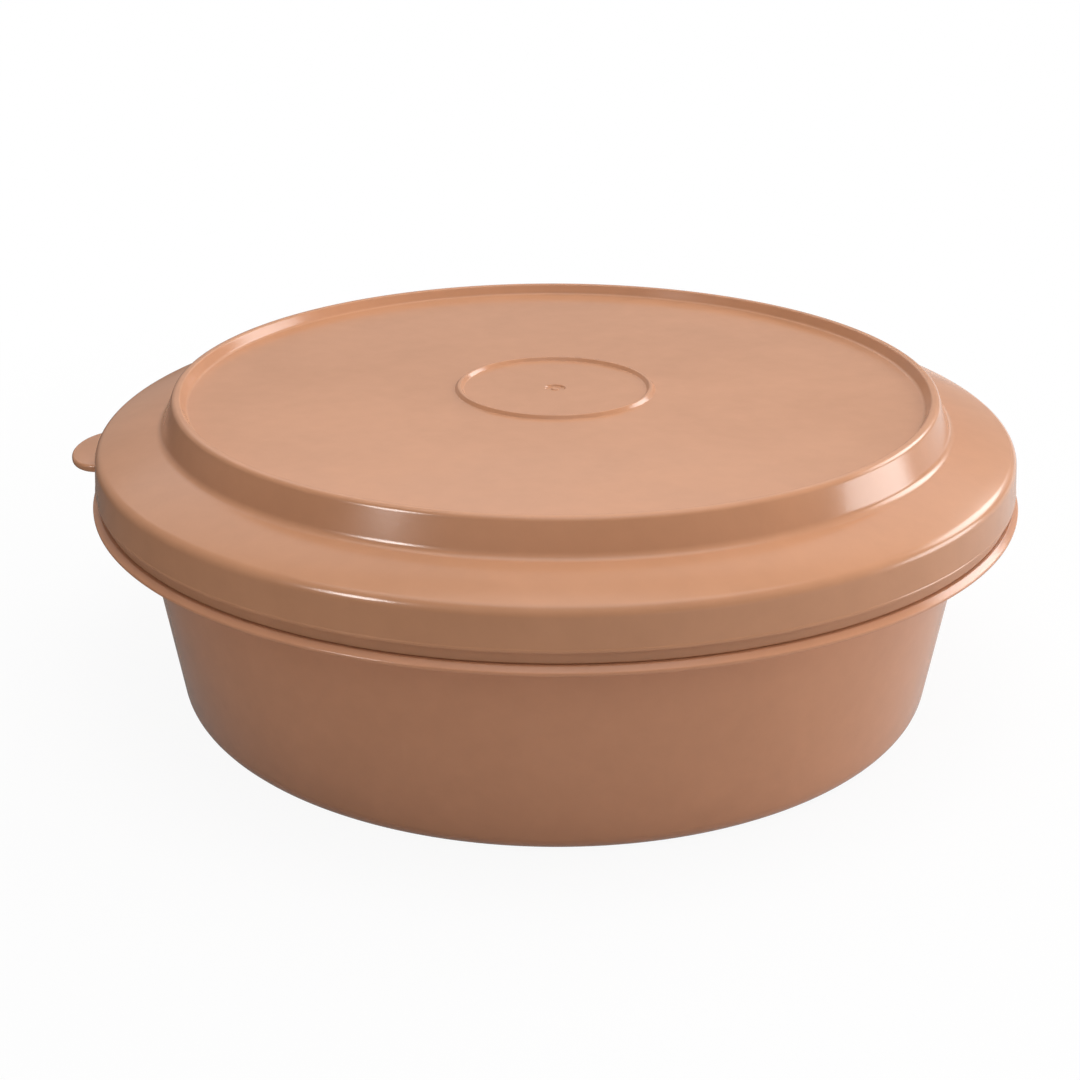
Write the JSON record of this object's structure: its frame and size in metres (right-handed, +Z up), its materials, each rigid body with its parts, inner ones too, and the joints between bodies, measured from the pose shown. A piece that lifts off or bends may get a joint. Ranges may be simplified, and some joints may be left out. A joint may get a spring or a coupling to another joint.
{
  "type": "tortilla warmer",
  "caption": "Round moulded plastic tortilla warmer: a bowl with leaning walls and a stepped rim, and a lift-off lid with a raised plateau, a sunk top disc and a thumb tab.",
  "frame": {"origin": "on the axis of the bowl, in the plane that its foot stands on", "axes": "+Z up along the axis, -X towards the middle of the lid's thumb tab, +Y to the back"},
  "size_m": [0.2424, 0.2348, 0.0798],
  "materials": {
    "bowl_plastic": "satin injection-moulded polypropylene, caramel tan with faint flow mottling",
    "lid_plastic": "satin injection-moulded polypropylene, caramel tan with faint flow mottling"
  },
  "bodies": {
    "bowl": {"bowl": "bowl_plastic"},
    "lid": {"lid": "lid_plastic"}
  },
  "joints": [
    {"name": "lid_lift", "type": "slide", "parent": "bowl", "child": "lid", "axis": [0, 0, 1], "range_m": [0, 0.12]}
  ]
}
